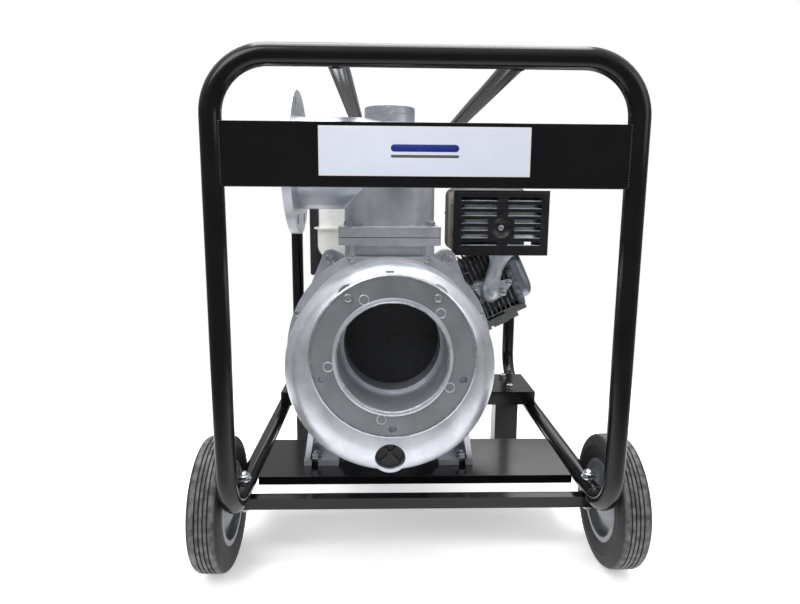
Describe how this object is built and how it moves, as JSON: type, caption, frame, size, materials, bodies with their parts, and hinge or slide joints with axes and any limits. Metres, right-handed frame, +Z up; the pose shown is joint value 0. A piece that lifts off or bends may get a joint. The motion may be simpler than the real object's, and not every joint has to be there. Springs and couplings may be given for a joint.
{
  "type": "engine driven trash pump",
  "caption": "Engine driven trash pump in a two-wheeled tube frame, with a large front suction port and a side discharge flange.",
  "frame": {"origin": "on the ground under the middle of the frame's bounding box", "axes": "+X to the right seen from the suction end, +Y from the suction end to the recoil starter, +Z up"},
  "size_m": [0.664, 0.755, 0.7585],
  "materials": {
    "frame_enamel": "gloss black enamel over steel tube and sheet",
    "label": "plain printed panel",
    "zinc": "bright zinc plated fasteners",
    "rubber": "moulded rubber",
    "tyre": "ribbed solid tyre",
    "rim_steel": "silver painted pressed steel",
    "cast_aluminium": "die cast aluminium, shot finish",
    "cast_iron": "cast iron",
    "steel": "machined steel",
    "gasket": "gasket sheet",
    "bronze": "sintered bronze",
    "black_head": "black painted casting",
    "guard_black": "satin black sheet steel",
    "exhaust_steel": "heat resisting silver coating",
    "tank_cream": "cream white enamel",
    "black_plastic": "moulded black plastic"
  },
  "bodies": {
    "root": {"front_hoop": "frame_enamel", "rear_hoop": "frame_enamel", "base_rail_left": "frame_enamel", "base_rail_right": "frame_enamel", "top_rail_left": "frame_enamel", "top_rail_right": "frame_enamel", "front_beam": "frame_enamel", "label_plate": "label", "axle_beam": "frame_enamel", "pump_base_plate": "frame_enamel", "engine_base_plate": "frame_enamel", "rear_legs": "frame_enamel", "leg_pads": "rubber", "frame_bolts": "zinc", "wheel_retainers": "zinc", "suction_cover": "cast_aluminium", "flap_hinge_pin": "steel", "pump_casing": "cast_aluminium", "volute": "cast_iron", "pump_gaskets": "gasket", "discharge_elbow": "cast_aluminium", "mechanical_seal": "steel", "rear_bracket": "cast_aluminium", "pump_bolts": "zinc", "foot_bolts": "zinc", "crankcase": "cast_aluminium", "cylinder_head": "black_head", "valve_cover": "exhaust_steel", "spark_plug": "steel", "muffler_guard": "guard_black", "muffler": "exhaust_steel", "exhaust_pipe": "exhaust_steel", "fan_cover": "guard_black", "recoil_cover": "guard_black", "fuel_tank": "tank_cream", "air_cleaner": "black_plastic", "carburetor": "cast_aluminium", "switch_box": "black_plastic"},
    "wheel_left": {"wheel_left_tyre": "tyre", "wheel_left_rim": "rim_steel", "wheel_left_bush": "bronze"},
    "wheel_right": {"wheel_right_tyre": "tyre", "wheel_right_rim": "rim_steel", "wheel_right_bush": "bronze"},
    "rotor": {"crankshaft": "steel", "impeller": "cast_iron", "flywheel": "cast_iron"},
    "piston_and_rod": {"piston": "cast_aluminium", "connecting_rod": "steel"},
    "check_flap": {"check_valve_flap": "rubber"},
    "starter_handle": {"starter_handle": "black_plastic"},
    "starter_spool": {"starter_spool": "black_plastic"},
    "choke_lever": {"choke_lever": "black_plastic"},
    "fuel_tap": {"fuel_tap": "black_plastic"},
    "throttle_lever": {"throttle_lever": "black_plastic"},
    "key_switch": {"key_switch": "black_plastic"},
    "fuel_cap": {"fuel_cap": "black_plastic"},
    "priming_plug": {"priming_plug": "cast_aluminium"},
    "drain_plug": {"drain_plug": "black_plastic"},
    "oil_plug": {"oil_plug": "black_plastic"}
  },
  "joints": [
    {"name": "wheel_left_roll", "type": "hinge", "parent": "root", "child": "wheel_left", "pos_m": [-0.309, -0.2667, 0.1023], "axis": [1, 0, 0], "continuous": true},
    {"name": "wheel_right_roll", "type": "hinge", "parent": "root", "child": "wheel_right", "pos_m": [0.309, -0.2667, 0.1023], "axis": [1, 0, 0], "continuous": true},
    {"name": "rotor_turn", "type": "hinge", "parent": "root", "child": "rotor", "pos_m": [-0.0445, 0, 0.3], "axis": [0, 1, 0], "continuous": true},
    {"name": "piston_stroke", "type": "slide", "parent": "root", "child": "piston_and_rod", "axis": [0.9063, 0, 0.4226], "range_m": [-0.064, 0]},
    {"name": "flap_swing", "type": "hinge", "parent": "root", "child": "check_flap", "pos_m": [-0.0415, -0.247, 0.45], "axis": [1, 0, 0], "range_deg": [0, 35]},
    {"name": "handle_pull", "type": "slide", "parent": "root", "child": "starter_handle", "axis": [0.7071, 0, 0.7071], "range_m": [0, 0.5], "stiffness_N_per_m": 10, "springref_m": -0.5},
    {"name": "spool_turn", "type": "hinge", "parent": "root", "child": "starter_spool", "pos_m": [-0.0445, 0.313, 0.3], "axis": [0, 1, 0], "range_deg": [0, 575]},
    {"name": "choke_turn", "type": "hinge", "parent": "root", "child": "choke_lever", "pos_m": [0.1435, 0.236, 0.441], "axis": [0, 1, 0], "range_deg": [0, 60]},
    {"name": "fuel_tap_turn", "type": "hinge", "parent": "root", "child": "fuel_tap", "pos_m": [0.1675, 0.236, 0.418], "axis": [0, 1, 0], "range_deg": [-90, 0]},
    {"name": "throttle_turn", "type": "hinge", "parent": "root", "child": "throttle_lever", "pos_m": [0.0405, 0.285, 0.373], "axis": [0, 1, 0], "range_deg": [0, 35]},
    {"name": "key_turn", "type": "hinge", "parent": "root", "child": "key_switch", "pos_m": [-0.2055, 0.285, 0.52], "axis": [0, 1, 0], "range_deg": [0, 60]},
    {"name": "fuel_cap_lift", "type": "slide", "parent": "root", "child": "fuel_cap", "axis": [0, 0, 1], "range_m": [0, 0.06]},
    {"name": "priming_plug_lift", "type": "slide", "parent": "root", "child": "priming_plug", "axis": [0, 0, 1], "range_m": [0, 0.04]},
    {"name": "drain_plug_pull", "type": "slide", "parent": "root", "child": "drain_plug", "axis": [0, -1, 0], "range_m": [0, 0.06]},
    {"name": "oil_plug_pull", "type": "slide", "parent": "root", "child": "oil_plug", "axis": [1, 0, 0], "range_m": [0, 0.06]}
  ],
  "couplings": [
    {"joint": "spool_turn", "follows": "handle_pull", "rad_per_m": 20}
  ]
}
